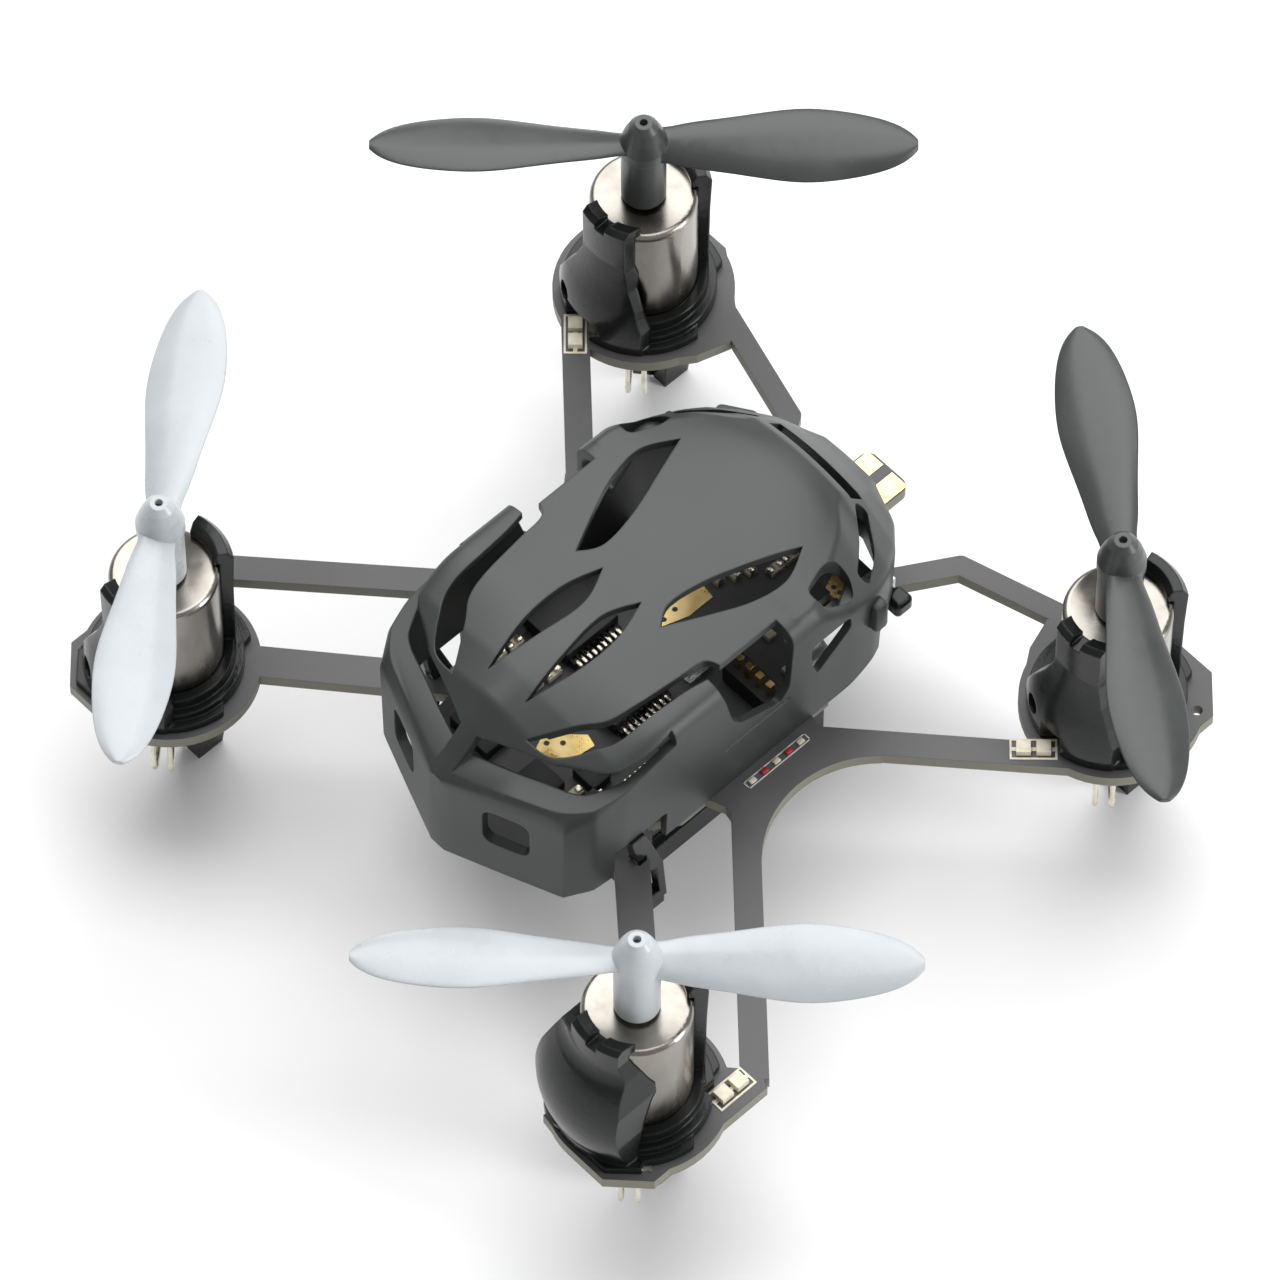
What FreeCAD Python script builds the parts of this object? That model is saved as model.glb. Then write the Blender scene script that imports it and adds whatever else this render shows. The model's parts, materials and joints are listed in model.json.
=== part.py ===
import FreeCAD
import Part
import math
import os

V = FreeCAD.Vector
UP = V(0, 0, 1)

# A palm-sized quadcopter. The circuit board is the airframe; the nose points along -Y.
# All sizes are in millimetres. z = 0 is the surface that the four feet stand on.

# Heights
BOARD_TOP = 10.2
BOARD_THICK = 0.8
CAN_TOP = BOARD_TOP + 9.2
BLADE_Z = BOARD_TOP + 14.0
HUB_TOP = BLADE_Z + 2.15

# Motors, 6 mm coreless
MOTOR_X = 18.5
MOTOR_Y = 17.8
CAN_R = 3.0
CAN_LENGTH = 12.0
CAN_WALL = 0.3
CAN_BOTTOM = CAN_TOP - CAN_LENGTH
SHAFT_R = 0.4
RUNNING_GAP = 0.03
MAGNET_R = 1.85
COIL_IN = 1.95
COIL_OUT = 2.45
BUSH_R = 0.75

# Propellers: radius, and the rest angle of one blade from +X in degrees
PROP_R = 15.0
HUB_R = 1.34
STEM_R = 1.25
HUB_HOLE_R = 0.22
BLADE_TWIST_ROOT = 20.0
BLADE_TWIST_TIP = 7.0

# name: (side along X, side along Y, blade angle, sense of rotation)
CORNERS = {
    "front_left": (1, -1, 45.6, 1),
    "front_right": (-1, -1, 129.4, -1),
    "rear_left": (1, 1, 143.9, -1),
    "rear_right": (-1, 1, 46.5, 1),
}

# Motor clips: radius and height above the board along the flank of the broad front finger, which is two
# arcs, each through three of the points, and the finger's outline seen from the nose, down its two sides
NARROW_FLANK = [(3.7, 7.0), (3.9, 5.4), (4.25, 3.9), (4.6, 2.3), (4.72, 0.9)]
NARROW_SIDES = [(-3.35, -1), (-3.25, 2), (-2.55, 3.5), (-1.75, 5), (-1.15, 6.6), (-1.15, 11),
                (1.85, 11), (1.85, 6.6), (2.2, 5), (2.8, 3.5), (3.25, 2), (3.35, -1)]
BROAD_FLANK = [(3.76, 8.2), (3.92, 7.6), (4.3, 7.0), (5.35, 4.2), (4.85, 0.9)]
BROAD_SIDES = [(-3.7, -1), (-3.85, 3), (-3.6, 5.5), (-2.95, 7.5), (-1.4, 8.7), (-1.3, 11),
               (1.88, 11), (1.9, 8.8), (2.35, 7.6), (2.9, 5.5), (3.1, 3), (3.1, -1)]
CLIP_GAP = 0.03

# name: (x, y, turn from +X in degrees) of the small light beside each motor
LIGHTS = {
    "front_left": (21.85, -14.1, 90.0),
    "front_right": (-21.85, -14.1, 90.0),
    "rear_left": (17.9, 12.4, 46.0),
    "rear_right": (-18.8, 12.85, -43.5),
}

# Board
PAD_R = 5.0
MOTOR_HOLE_R = 3.45
ARM_WIDTH = 1.55
SIDE_FILLET_R = 6.5
SIDE_FILLET_X = 17.2
TAB_CENTRE_X = -0.5
TAB_WIDTH = 3.3
TAB_END_Y = 19.4

# Canopy: half widths and heights above the board at stations along Y. Each row is y, half width at
# the board, half width of the wall, shoulder height, half width of the roof, roof edge height, crown height.
SHELL_WALL = 0.55
STATIONS = [
    (-15.1, 0.5, 0.5, 6.7, 0.4, 7.1, 7.2),
    (-13.9, 3.6, 3.6, 6.9, 3.2, 7.5, 8.0),
    (-12.5, 7.1, 7.2, 7.1, 6.6, 7.8, 9.4),
    (-11.0, 7.9, 8.15, 8.0, 7.3, 9.0, 10.4),
    (-9.0, 8.1, 8.5, 9.2, 7.7, 10.0, 10.9),
    (-5.5, 8.1, 8.5, 10.1, 7.9, 10.75, 11.2),
    (5.0, 8.1, 8.5, 10.1, 7.9, 10.75, 11.35),
    (7.6, 8.1, 8.45, 8.4, 6.6, 10.6, 11.25),
    (9.8, 7.8, 8.1, 7.4, 5.2, 10.4, 11.05),
    (11.7, 7.0, 7.3, 6.8, 3.4, 10.1, 10.5),
    (13.2, 6.0, 6.2, 6.2, 3.2, 8.4, 8.8),
    (14.6, 4.6, 4.7, 5.7, 2.6, 6.7, 7.0),
    (15.6, 2.3, 2.4, 5.2, 1.9, 5.7, 5.8),
]

# Battery and its cradle, hung under the board
CELL_WIDTH = 11.0
CELL_FRONT = -7.5
CELL_LENGTH = 17.0
CELL_THICK = 5.2
CRADLE_WALL = 0.6
CELL_TOP = BOARD_TOP - BOARD_THICK - 0.3
CELL_BOTTOM = CELL_TOP - CELL_THICK
LEAD_R = 0.35

# Power switch
KNOB_WIDTH = 1.0


# ---------------------------------------------------------------- helpers

def box(x0, x1, y0, y1, z0, z1):
    return Part.makeBox(x1 - x0, y1 - y0, z1 - z0, V(x0, y0, z0))


def cylinder(r, z0, z1, x=0.0, y=0.0):
    return Part.makeCylinder(r, z1 - z0, V(x, y, z0), UP)


def tube(r_in, r_out, z0, z1, x=0.0, y=0.0):
    return cylinder(r_out, z0, z1, x, y).cut(cylinder(r_in, z0 - 1, z1 + 1, x, y))


def prism(points, z0, z1):
    """A vertical prism over a polygon of (x, y) points."""
    corners = [V(x, y, z0) for x, y in points]
    face = Part.Face(Part.makePolygon(corners + corners[:1]))
    return face.extrude(V(0, 0, z1 - z0))


def side_prism(points, x0, x1):
    """A prism along X over a polygon of (y, z) points."""
    corners = [V(x0, y, z) for y, z in points]
    face = Part.Face(Part.makePolygon(corners + corners[:1]))
    return face.extrude(V(x1 - x0, 0, 0))


def front_prism(points, y0, y1):
    """A prism along Y over a polygon of (x, z) points."""
    corners = [V(x, y0, z) for x, z in points]
    face = Part.Face(Part.makePolygon(corners + corners[:1]))
    return face.extrude(V(0, y1 - y0, 0))


def fuse(shapes):
    return shapes[0].multiFuse(shapes[1:]).removeSplitter()


def both_sides(shape):
    """The shape and its mirror image across the centre plane x = 0."""
    return [shape, shape.mirror(V(0, 0, 0), V(1, 0, 0))]


def bar(x0, y0, x1, y1, width, z0, z1):
    """A straight bar of the board between two points of its centre line."""
    length = math.hypot(x1 - x0, y1 - y0)
    across_x = -(y1 - y0) / length * width / 2
    across_y = (x1 - x0) / length * width / 2
    corners = [
        (x0 + across_x, y0 + across_y),
        (x1 + across_x, y1 + across_y),
        (x1 - across_x, y1 - across_y),
        (x0 - across_x, y0 - across_y),
    ]
    return prism(corners, z0, z1)


def vertical_edges(solid, places, reach=0.4):
    """The vertical edges of a flat solid that stand at the given (x, y) places."""
    found = []
    for edge in solid.Edges:
        start, end = edge.Vertexes[0].Point, edge.Vertexes[-1].Point
        if abs(start.x - end.x) > 1e-4 or abs(start.y - end.y) > 1e-4:
            continue
        if any(math.hypot(start.x - x, start.y - y) < reach for x, y in places):
            found.append(edge)
    return found


def place(shape, corner):
    """Moves a shape made at the origin to one motor's axis."""
    side_x, side_y = CORNERS[corner][:2]
    return shape.translated(V(side_x * MOTOR_X, side_y * MOTOR_Y, 0))


def wire_along(points, radius):
    """A round wire of straight runs joined by tangent arcs."""
    runs = [(points[i + 1] - points[i]).Length for i in range(len(points) - 1)]
    edges = []
    start = points[0]
    for i in range(1, len(points) - 1):
        back = (points[i - 1] - points[i]).normalize()
        ahead = (points[i + 1] - points[i]).normalize()
        half_turn = (math.pi - back.getAngle(ahead)) / 2
        tangent = 0.45 * min(runs[i - 1], runs[i])
        bend_r = tangent / math.tan(half_turn)
        enter = points[i] + back * tangent
        leave = points[i] + ahead * tangent
        towards = (back + ahead).normalize()
        middle = points[i] + towards * (bend_r / math.cos(half_turn) - bend_r)
        edges.append(Part.LineSegment(start, enter).toShape())
        edges.append(Part.Arc(enter, middle, leave).toShape())
        start = leave
    edges.append(Part.LineSegment(start, points[-1]).toShape())
    path = Part.Wire(edges)
    first = (points[1] - points[0]).normalize()
    profile = Part.Wire(Part.makeCircle(radius, points[0], first))
    return path.makePipeShell([profile], True, False)


# ---------------------------------------------------------------- board

def board_outline(z0, z1):
    """The centre of the board, four motor pads, eight arms and the charging tab."""
    centre = [
        (0, -13.6), (4.4, -12.3), (6.2, -10.6), (6.6, -6.4), (7.9, -4.4), (7.9, 6.6),
        (6.6, 7.2), (3.55, 7.4), (3.55, 11.1), (6.2, 11.1), (5.4, 14.0), (0, 14.1),
    ]
    centre += [(-x, y) for x, y in reversed(centre[1:-1])]
    pieces = [prism(centre, z0, z1)]
    tab = box(TAB_CENTRE_X - TAB_WIDTH / 2, TAB_CENTRE_X + TAB_WIDTH / 2, 13.0, TAB_END_Y, z0, z1)
    tab_corners = [(TAB_CENTRE_X + s * TAB_WIDTH / 2, TAB_END_Y) for s in (-1, 1)]
    pieces.append(tab.makeFillet(0.6, vertical_edges(tab, tab_corners)))
    half = [
        # side node, where the long front and rear arms meet beside the canopy
        prism([(7.0, -3.0), (9.0, -2.2), (12.6, -3.0), (12.6, 6.2), (9.0, 5.0), (7.0, 5.4)], z0, z1),
        bar(22.3, -12.77, 9.0, -0.76, ARM_WIDTH, z0, z1),
        bar(22.25, 15.95, 9.0, 4.1, ARM_WIDTH, z0, z1),
        # second front arm, to the board's front corner
        bar(15.2, -14.3, 6.0, -6.55, 1.95, z0, z1),
        # second rear arm, with a bend beside the canopy
        bar(15.4, 20.35, 6.6, 17.75, 1.25, z0, z1),
        cylinder(0.625, z0, z1, 6.75, 17.8),
        bar(6.75, 17.8, 4.2, 13.6, 1.25, z0, z1),
        # pads
        cylinder(PAD_R, z0, z1, MOTOR_X, -MOTOR_Y),
        prism([(16.1, -22.4), (18.5, -22.8), (21.1, -22.8), (23.1, -20.9), (23.1, -12.6), (22.0, -12.2),
               (20.4, -13.6), (18.5, -13.4)], z0, z1),
        cylinder(PAD_R + 0.1, z0, z1, MOTOR_X, MOTOR_Y),
        prism([(17.2, 22.9), (21.1, 22.9), (23.1, 21.0), (23.1, 16.0), (22.2, 15.2),
               (20.4, 14.0), (15.0, 17.0), (14.0, 20.6)], z0, z1),
        prism([(12.5, 18.8), (13.15, 16.8), (14.2, 15.3), (18.5, 17.8), (14.6, 20.4)], z0, z1),
    ]
    for piece in half:
        pieces += both_sides(piece)
    return fuse(pieces)


def main_board():
    z0, z1 = BOARD_TOP - BOARD_THICK, BOARD_TOP
    board = board_outline(z0, z1)
    # the side node is hollowed by one large radius between the two arms
    holes = both_sides(cylinder(SIDE_FILLET_R, z0 - 1, z1 + 1, SIDE_FILLET_X, 1.65))
    # notches in the arm roots for the cradle's clips
    holes += both_sides(box(7.65, 8.5, -8.15, -6.2, z0 - 1, z1 + 1))
    for side_x, side_y in [CORNERS[c][:2] for c in CORNERS]:
        x, y = side_x * MOTOR_X, side_y * MOTOR_Y
        holes.append(cylinder(MOTOR_HOLE_R, z0 - 1, z1 + 1, x, y))
        holes.append(cylinder(0.3, z0 - 1, z1 + 1, side_x * 22.25, side_y * 20.6))
    return board.cut(Part.makeCompound(holes))


def charge_contacts():
    """Two plated contacts on the top of the charging tab."""
    z0 = BOARD_TOP
    pads = []
    for side in (-1, 1):
        x = TAB_CENTRE_X + side * 0.95
        pads.append(box(x - 0.6, x + 0.6, 15.9, TAB_END_Y - 0.15, z0, z0 + 0.06))
    return Part.makeCompound(pads)


def arm_led(corner):
    """A small light with two pale lenses in a printed white frame."""
    frame = box(-1.3, 1.3, -0.65, 0.65, 0, 0.05).cut(box(-1.18, 1.18, -0.53, 0.53, -1, 1))
    lenses = [box(-0.95, -0.15, -0.4, 0.4, 0, 0.4), box(0.15, 0.95, -0.4, 0.4, 0, 0.4)]
    carrier = box(-1.2, 1.2, -0.12, 0.12, 0, 0.05)
    lamp = fuse([frame, carrier] + lenses)
    x, y, angle = LIGHTS[corner]
    return lamp.rotated(V(0, 0, 0), UP, angle).translated(V(x, y, BOARD_TOP))


# ---------------------------------------------------------------- electronics

def leaded_chip(x, y, body_x, body_y, height, pins, pin_span):
    """A chip with a row of gull-wing pins on each of its two long sides."""
    z0 = BOARD_TOP
    parts = [box(x - body_x / 2, x + body_x / 2, y - body_y / 2, y + body_y / 2, z0 + 0.1, z0 + height)]
    pitch = body_y / (pins + 0.2)
    for i in range(pins):
        pin_y = y + (i - (pins - 1) / 2) * pitch
        for side in (-1, 1):
            near, far = side * body_x / 2, side * pin_span / 2
            knee = near + side * 0.25
            low, high = sorted((x + near, x + knee))
            parts.append(box(low, high, pin_y - 0.11, pin_y + 0.11, z0 + 0.35, z0 + 0.5))
            low, high = sorted((x + knee, x + knee + side * 0.15))
            parts.append(box(low, high, pin_y - 0.11, pin_y + 0.11, z0, z0 + 0.5))
            low, high = sorted((x + knee + side * 0.15, x + far))
            parts.append(box(low, high, pin_y - 0.11, pin_y + 0.11, z0, z0 + 0.15))
    return fuse(parts)


def mcu_chip():
    return leaded_chip(-5.0, -0.4, 3.3, 3.8, 1.1, 9, 4.9)


def radio_chip():
    return leaded_chip(0.4, -1.45, 2.4, 4.0, 1.0, 9, 3.8)


def gyro_chip():
    return box(4.2, 6.6, -2.6, 0.2, BOARD_TOP, BOARD_TOP + 0.9)


def crystal_can():
    can = box(-0.6, 1.9, 1.9, 3.3, BOARD_TOP + 0.1, BOARD_TOP + 0.8)
    base = box(-0.8, 2.1, 1.7, 3.5, BOARD_TOP, BOARD_TOP + 0.15)
    return base.fuse(can).removeSplitter()


def motor_drivers():
    """Four small transistors, one for each motor, near the board's corners."""
    parts = []
    for side_x in (-1, 1):
        for x, y in ((4.3, -8.2), (2.75, 9.7)):
            x = side_x * x
            parts.append(box(x - 0.7, x + 0.7, y - 1.3, y + 1.3, BOARD_TOP, BOARD_TOP + 0.9))
    return Part.makeCompound(parts)


def passives():
    """Surface-mount resistors and capacitors: x, y, and whether each lies along Y."""
    spots = [
        (-6.4, -4.7, True), (-6.3, -3.5, True), (-3.6, -4.6, True), (-3.5, -3.3, True),
        (-4.4, 2.2, True), (2.9, -5.0, True), (-1.9, 7.4, False), (-1.45, 8.3, False), (-1.1, 9.1, False),
        (0.0, 10.2, True), (0.0, 11.3, True), (-4.4, -10.5, True), (-0.9, -10.2, False), (2.6, -9.2, True),
        (2.9, -7.7, True), (5.9, -5.9, True), (-5.8, 6.4, True), (2.6, 7.0, False), (-2.6, 12.2, False),
        (5.2, 6.4, True), (-6.3, 4.2, True),
    ]
    parts = []
    for x, y, along_y in spots:
        half_x, half_y = (0.28, 0.5) if along_y else (0.5, 0.28)
        parts.append(box(x - half_x, x + half_x, y - half_y, y + half_y, BOARD_TOP, BOARD_TOP + 0.35))
    return Part.makeCompound(parts)


def gold_pads():
    """Plated pads with via holes that show through the canopy's openings."""
    z0, z1 = BOARD_TOP, BOARD_TOP + 0.05
    front = prism([(-0.7, -7.2), (0.1, -7.2), (1.2, -5.9), (1.35, -4.7), (0.6, -4.5), (-1.1, -6.2)], z0, z1)
    middle = prism([(-2.4, 3.3), (-1.7, 3.0), (-1.1, 4.7), (-1.1, 6.5), (-2.3, 6.7), (-3.0, 4.8)], z0, z1)
    rear = prism([(3.3, 11.2), (4.1, 11.6), (3.9, 12.9), (2.9, 13.1), (2.4, 12.2), (2.7, 11.4)], z0, z1)
    vias = [(-0.55, -6.5), (0.05, -5.85), (-1.95, 4.45), (-1.88, 3.55), (3.0, 11.75), (3.5, 11.75)]
    drills = Part.makeCompound([cylinder(0.16, z0 - 1, z1 + 1, x, y) for x, y in vias])
    return Part.makeCompound([front.cut(drills), middle.cut(drills), rear.cut(drills)])


def pin_header():
    """A low black strip of four contacts beside the canopy's side window."""
    z0 = BOARD_TOP
    strip = box(3.1, 6.7, 3.2, 4.6, z0, z0 + 1.5)
    return strip


def header_contacts():
    """Four plated contacts standing in the strip."""
    z0 = BOARD_TOP + 1.5
    pins = [box(x - 0.2, x + 0.2, 3.7, 4.1, z0, z0 + 0.9) for x in (3.7, 4.5, 5.3, 6.1)]
    return Part.makeCompound(pins)


def power_switch_body():
    """A slide switch on the board's rear corner, with a slot along its outer side."""
    z0 = BOARD_TOP
    body = box(4.2, 5.5, 11.15, 14.0, z0, z0 + 1.4)
    slot = box(4.9, 5.8, 11.4, 13.7, z0 + 0.35, z0 + 1.05)
    return body.cut(slot)


def switch_knob():
    """The switch's lever, which slides along the slot, at its rear end at rest."""
    z0 = BOARD_TOP
    y1 = 13.68
    y0 = y1 - KNOB_WIDTH + 0.25
    stem = box(4.93, 6.1, y0, y1, z0 + 0.38, z0 + 1.02)
    grip = box(5.75, 7.0, y0 - 0.2, y1 + 0.3, z0 + 0.15, z0 + 1.3)
    rounded = grip.makeFillet(0.3, grip.Edges)
    return stem.fuse(rounded).removeSplitter()


# ---------------------------------------------------------------- battery

def battery_cell():
    """A lithium polymer pouch with its sealed front lip."""
    half = CELL_WIDTH / 2
    cell = box(-half, half, CELL_FRONT, CELL_FRONT + CELL_LENGTH, CELL_BOTTOM, CELL_TOP)
    long_edges = [e for e in cell.Edges if abs(e.Length - CELL_LENGTH) < 1e-6]
    cell = cell.makeFillet(1.4, long_edges)
    lip = box(-half + 0.6, half - 0.6, CELL_FRONT - 1.6, CELL_FRONT + 0.5, CELL_TOP - 1.4, CELL_TOP - 0.4)
    return cell.fuse(lip).removeSplitter()


def battery_cradle():
    """An open black tray under the cell, with two slotted clips up the sides."""
    half = CELL_WIDTH / 2 + 0.1
    outer = half + CRADLE_WALL
    bottom = CELL_BOTTOM - CRADLE_WALL
    y0, y1 = CELL_FRONT + 0.5, CELL_FRONT + CELL_LENGTH - 1.5
    tray = box(-outer, outer, y0, y1, bottom, CELL_TOP + 0.28)
    hollow = box(-half, half, y0 - 1, y1 + 1, CELL_BOTTOM - 0.01, CELL_TOP + 1)
    tray = tray.cut(hollow)
    for window_y in (y0 + 2.0, y0 + 9.0):
        tray = tray.cut(box(-3.8, 3.8, window_y, window_y + 5.0, bottom - 1, CELL_BOTTOM + 1))
        side_window = box(-outer - 1, outer + 1, window_y, window_y + 5.0, CELL_BOTTOM + 1.2, CELL_TOP - 1.0)
        tray = tray.cut(side_window)
    clip = side_prism(
        [(-8.6, BOARD_TOP + 2.5), (-7.6, BOARD_TOP + 2.5), (-6.3, BOARD_TOP - 1.6),
         (-6.0, BOARD_TOP - 5.5), (-7.4, BOARD_TOP - 5.5), (-8.3, BOARD_TOP - 3.5),
         (-7.95, BOARD_TOP - 1.0)],
        7.8, 8.4,
    )
    clip = clip.cut(side_prism(
        [(-7.55, BOARD_TOP - 1.4), (-6.75, BOARD_TOP - 2.0), (-6.5, BOARD_TOP - 4.7),
         (-7.2, BOARD_TOP - 4.7), (-7.8, BOARD_TOP - 3.4)],
        7.0, 9.0,
    ))
    foot = box(outer - 0.1, 8.4, -7.2, -6.2, BOARD_TOP - 6.1, BOARD_TOP - 5.4)
    pieces = [tray]
    for piece in (clip, foot):
        pieces += both_sides(piece)
    return fuse(pieces)


def battery_lead(side):
    """One insulated lead from the cell's lip up to the board's underside."""
    x = side * 1.5
    start_y = CELL_FRONT - 1.62
    level = CELL_TOP - 0.9
    points = [
        V(x, start_y, level),
        V(x, start_y - 3.0, level),
        V(x, start_y - 3.0, BOARD_TOP - BOARD_THICK),
    ]
    return wire_along(points, LEAD_R)


# ---------------------------------------------------------------- canopy

def shell_loft(inset, lift):
    """The canopy's outer form, or its hollow when inset is the wall thickness."""
    wires = []
    for y, foot_half, half, shoulder, roof_half, edge, crown in STATIONS:
        foot_half = max(foot_half - inset, 0.15)
        half = max(half - inset, 0.15)
        roof_half = max(roof_half - inset, 0.1)
        base = BOARD_TOP - lift
        heights = [BOARD_TOP + h - inset for h in (shoulder, edge, crown)]
        y = y * (1 - inset / 15.0)
        left = [(-foot_half, base), (-half, heights[0]), (-roof_half, heights[1])]
        right = [(-x, z) for x, z in reversed(left)]
        outline = [V(x, y, z) for x, z in left + [(0, heights[2])] + right]
        wires.append(Part.makePolygon(outline + outline[:1]))
    return Part.makeLoft(wires, True, True)


def leaf(points):
    """A pointed opening through the roof, curved along both sides.

    The first point is the front tip; the middle point of the list is the rear tip.
    """
    half = len(points) // 2
    sides = [points[:half + 1], points[half:] + points[:1]]
    edges = []
    for side in sides:
        curve = Part.BSplineCurve()
        curve.interpolate([V(x, y, BOARD_TOP + 6.5) for x, y in side])
        edges.append(curve.toShape())
    face = Part.Face(Part.Wire(edges))
    return face.extrude(V(0, 0, 8))


def canopy_openings():
    top = BOARD_TOP
    half = [
        # rear pair beside the plateau
        leaf([(3.3, -1.65), (2.5, -0.3), (2.9, 2.2), (4.75, 7.5), (5.75, 4.6), (4.6, 1.0)]),
        # centre pair
        leaf([(1.45, -9.9), (0.95, -6.9), (0.65, -3.6), (1.5, -1.35), (2.25, -3.7), (2.25, -6.6)]),
        # outer pair, broad in front and bent like a hockey stick
        prism([(2.85, -11.1), (4.6, -10.75), (5.3, -9.95), (6.1, -8.95), (6.65, -7.8), (6.85, -6.1),
               (6.85, -4.3), (7.05, -2.9), (7.5, -0.9), (7.1, -0.45), (6.35, -1.3), (6.1, -3.2),
               (5.8, -5.9), (5.4, -7.5), (4.5, -8.7), (3.8, -9.8)], top + 8.0, top + 13),
        # rear openings through the roof's edge
        prism([(6.9, 5.7), (6.2, 7.6), (6.35, 8.5), (7.2, 8.75), (8.05, 8.2), (8.1, 5.8)],
              top + 8.3, top + 13),
        # slots along the rear flank
        prism([(3.7, 12.4), (4.2, 12.9), (6.4, 11.4), (7.7, 9.7), (7.1, 9.3), (5.7, 10.9)],
              top + 5.4, top + 10),
        # side windows, which run up over the roof's edge
        side_prism([(-2.0, top + 13), (-1.9, top + 10.2), (-1.1, top + 6.9), (-0.4, top + 5.9),
                    (2.5, top + 4.6), (3.2, top + 5.5), (3.3, top + 11.3), (2.4, top + 13)], 7.05, 9.5),
        side_prism([(4.7, top + 7.8), (7.6, top + 7.9), (7.75, top + 6.7), (5.3, top + 4.5),
                    (4.8, top + 6.1)], 6.4, 9.5),
        # shallow notch in the skirt behind the nose
        box(5.5, 9.5, -9.6, -5.8, top - 1, top + 2.6),
    ]
    windows = box(-1.4, 1.4, -3.0, 3.0, top + 2.8, top + 6.0)
    windows = windows.makeFillet(0.7, [e for e in windows.Edges if abs(e.Length - 6.0) < 1e-6])
    windows = windows.rotated(V(0, 0, 0), UP, 19.4).translated(V(4.0, -13.7, 0))
    half.append(windows)
    cuts = []
    for piece in half:
        cuts += both_sides(piece)
    # the slit between the nose and the roof, bridged at the middle
    slit = side_prism([(-16, top + 7.55), (-5.5, top + 9.6), (-5.5, top + 10.3), (-16, top + 8.3)], 0.7, 9.5)
    core = prism([(0, -10.8), (5.4, -9.6), (6.6, -8.2), (6.9, -5.4), (6.9, -5.0), (0, -5.0)], top, top + 13)
    cuts += both_sides(slit.cut(core))
    # a notch for the switch's knob
    cuts.append(box(3.0, 9.0, 10.9, 14.35, top - 1, top + 1.6))
    # a slot across the rear slope
    cuts.append(box(-2.8, 3.6, 12.25, 13.1, top + 6.4, top + 12))
    return cuts


def canopy_bosses():
    """Small rounded bosses on the rear flanks, and one longer one at the right of the rear rim."""
    top = BOARD_TOP
    boss = box(7.7, 8.7, 9.4, 10.4, top + 4.2, top + 6.6)
    boss = boss.makeFillet(0.35, boss.Edges)
    long_boss = box(-1.2, 1.2, -0.5, 0.5, top + 4.6, top + 6.2)
    long_boss = long_boss.makeFillet(0.4, long_boss.Edges)
    long_boss = long_boss.rotated(V(0, 0, 0), UP, 33).translated(V(-6.0, 12.9, 0))
    return both_sides(boss) + [long_boss]


def canopy_shell():
    outer = shell_loft(0.0, 0.0)
    hollow = shell_loft(SHELL_WALL, 2.0)
    shell = outer.cut(hollow)
    shell = shell.cut(Part.makeCompound(canopy_openings()))
    return shell.multiFuse(canopy_bosses())


# ---------------------------------------------------------------- motors and clips

def motor_can():
    can = cylinder(CAN_R, CAN_BOTTOM, CAN_TOP)
    rim = [e for e in can.Edges if abs(e.BoundBox.ZMin - CAN_TOP) < 1e-4 and e.BoundBox.ZLength < 1e-4]
    can = can.makeFillet(0.35, rim)
    inside = cylinder(CAN_R - CAN_WALL, CAN_BOTTOM - 1, CAN_TOP - 0.5)
    return can.cut(inside).cut(cylinder(BUSH_R, CAN_TOP - 2, CAN_TOP + 1))


def motor_end_cap():
    """The plastic cap that closes the can's lower end and holds the brushes."""
    r = CAN_R - CAN_WALL
    cap = cylinder(r, CAN_BOTTOM, CAN_BOTTOM + 1.0)
    return cap.cut(cylinder(SHAFT_R + RUNNING_GAP, CAN_BOTTOM + 0.4, CAN_BOTTOM + 2))


def motor_bush():
    return tube(SHAFT_R + RUNNING_GAP, BUSH_R, CAN_TOP - 1.5, CAN_TOP + 0.15)


def motor_magnet():
    return tube(BUSH_R + 0.1, MAGNET_R, CAN_TOP - 8.0, CAN_TOP - 0.5)


def rotor_coil():
    z0 = CAN_BOTTOM + 1.4
    sleeve = tube(COIL_IN, COIL_OUT, z0, CAN_TOP - 1.0)
    disc = tube(SHAFT_R, COIL_OUT, z0, z0 + 0.5)
    return sleeve.fuse(disc).removeSplitter()


def motor_shaft():
    return cylinder(SHAFT_R, CAN_BOTTOM + 0.5, HUB_TOP - 0.5)


def clip_bell(flank, sides):
    """The broad front finger, flaring from the can's rim down to the pad."""
    top = BOARD_TOP
    points = [V(r, 0, top + z) for r, z in flank]
    arcs = [Part.Arc(*points[0:3]).toShape(), Part.Arc(*points[2:5]).toShape()]
    inner = [(4.3, 0), (4.2, 1.4), (3.9, 3.4), (3.4, 5.0), (2.7, 6.6)]
    lip = [(2.7, 9.9), (3.4, 10.2), (3.72, 9.9)]
    straight = [V(r, 0, top + z) for r, z in [(flank[-1][0] - 0.05, 0)] + inner + lip]
    rest = Part.makePolygon([points[-1]] + straight + [points[0]])
    bell = Part.Face(Part.Wire(arcs + rest.Edges)).revolve(V(0, 0, 0), UP, 130)
    bell = bell.rotated(V(0, 0, 0), UP, -155)
    bell = bell.common(front_prism([(x, top + z) for x, z in sides], -7.0, 0.0))
    notch = front_prism([(0.0, top + 9.55), (0.7, top + 9.55), (0.7, top + 11), (0.0, top + 11)], -7, 0)
    hook = Part.makeCylinder(0.6, 7, V(0, 0, top + 1.8), V(-0.43, -0.9, 0))
    return bell.cut(notch).cut(hook)


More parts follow.
